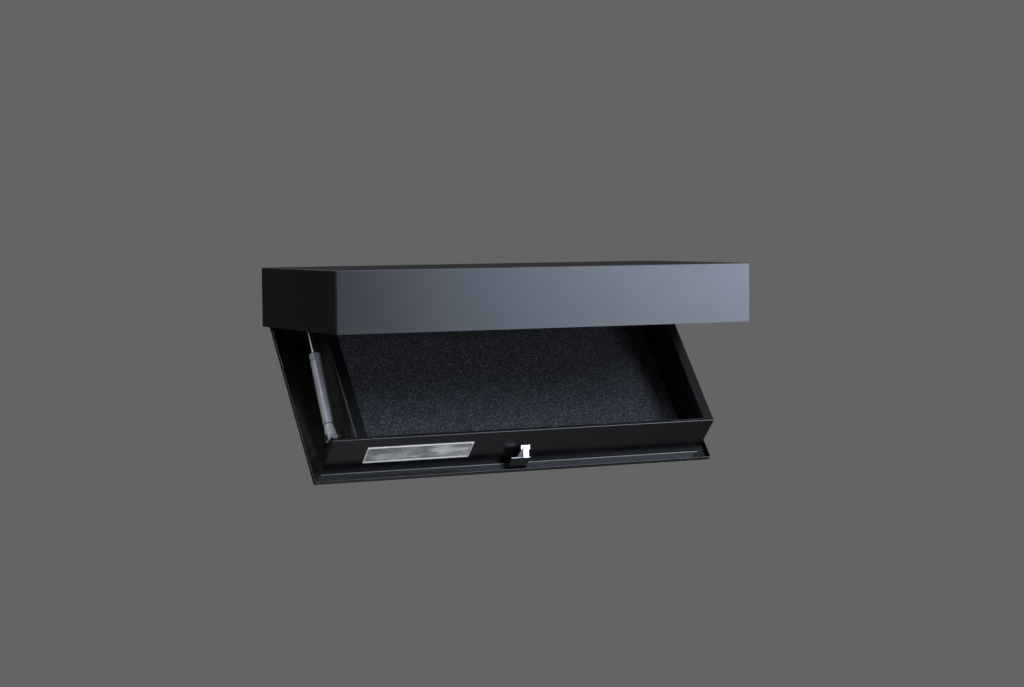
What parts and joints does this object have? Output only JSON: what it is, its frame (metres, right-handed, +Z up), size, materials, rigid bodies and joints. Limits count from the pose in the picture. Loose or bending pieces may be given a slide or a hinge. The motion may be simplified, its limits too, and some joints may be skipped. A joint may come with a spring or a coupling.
{
  "type": "concealment wall safe",
  "caption": "Black steel wall shelf whose hinged storage tray drops down on a gas strut and is held shut by a hidden motor lock.",
  "frame": {"origin": "centre of the rectangle of wall-bolt holes, on the rear face that lies on the wall", "axes": "+X to the right seen from the room, +Y into the wall, +Z up"},
  "size_m": [0.673, 0.305, 0.3099],
  "materials": {
    "shell_paint": "satin powder coat",
    "tray_paint": "satin powder coat",
    "zinc_steel": "bright zinc",
    "black_oxide": "black oxide",
    "strut_lacquer": "glossy grey lacquer",
    "polished_rod": "polished",
    "strut_ends": "satin grey composite",
    "foam": "closed-cell foam, speckled",
    "rubber": "matt",
    "plate_rim": "polished nickel",
    "plate_face": "brushed",
    "lock_metal": "galvanised",
    "black_plastic": "moulded, fine grain",
    "cell_jacket": "printed film, plain",
    "circuit_board": "solder mask",
    "cable_jacket": "pvc"
  },
  "bodies": {
    "shell": {"shell_casing": "shell_paint", "rear_panel": "shell_paint", "hinge_rail": "shell_paint", "hinge_leaf_shell": "zinc_steel", "hinge_pin": "zinc_steel", "shell_leaf_rivets": "zinc_steel", "strut_hanger": "shell_paint", "rubber_buffers": "rubber", "lock_housing": "lock_metal", "lock_weld_studs": "zinc_steel", "lock_nuts": "zinc_steel", "gear_motor": "lock_metal", "battery_box": "black_plastic", "battery_cover": "black_plastic", "battery_cells": "cell_jacket", "control_case": "black_plastic", "control_board": "circuit_board", "lock_cable": "cable_jacket", "battery_lead": "cable_jacket", "cable_clips": "black_plastic"},
    "tray": {"base_pan": "tray_paint", "front_wall": "tray_paint", "left_divider_channel": "tray_paint", "right_wall_channel": "tray_paint", "rear_wall_channel": "tray_paint", "foam_mat": "foam", "name_plate_frame": "plate_rim", "name_plate_insert": "plate_face", "latch_keeper": "zinc_steel", "keeper_upright": "tray_paint", "hinge_leaf_tray": "zinc_steel", "tray_leaf_rivets": "zinc_steel", "strut_lower_bracket": "tray_paint", "bracket_rivets": "black_oxide", "strut_lower_stud": "black_oxide"},
    "strut_barrel": {"strut_tube": "strut_lacquer", "strut_rod_guide": "strut_ends", "strut_lower_socket": "strut_ends"},
    "strut_plunger": {"strut_rod": "polished_rod", "strut_piston": "strut_ends", "strut_upper_eye": "strut_ends", "strut_upper_pin": "polished_rod"},
    "deadbolt": {"lock_bolt": "zinc_steel"},
    "lead_screw": {"lock_screw": "polished_rod"}
  },
  "joints": [
    {"name": "tray_hinge", "type": "hinge", "parent": "shell", "child": "tray", "pos_m": [0, -0.0143, -0.0462], "axis": [1, 0, 0], "range_deg": [-51, 0]},
    {"name": "strut_swing", "type": "hinge", "parent": "tray", "child": "strut_barrel", "pos_m": [-0.297, -0.17799, -0.20497], "axis": [1, 0, 0], "range_deg": [-1.3, 0]},
    {"name": "strut_slide", "type": "slide", "parent": "strut_barrel", "child": "strut_plunger", "axis": [0, 0.4783, 0.8782], "range_m": [-0.0628, 0]},
    {"name": "lock_bolt_slide", "type": "slide", "parent": "shell", "child": "deadbolt", "axis": [-1, 0, 0], "range_m": [0, 0.016]},
    {"name": "lock_screw_turn", "type": "hinge", "parent": "shell", "child": "lead_screw", "pos_m": [0.05, -0.2897, -0.029], "axis": [1, 0, 0], "range_deg": [0, 1440]}
  ],
  "couplings": [
    {"joint": "strut_swing", "follows": "tray_hinge", "ratio": 0.025315},
    {"joint": "strut_slide", "follows": "tray_hinge", "m_per_rad": 0.070418},
    {"joint": "lock_screw_turn", "follows": "lock_bolt_slide", "rad_per_m": 1570.8}
  ]
}
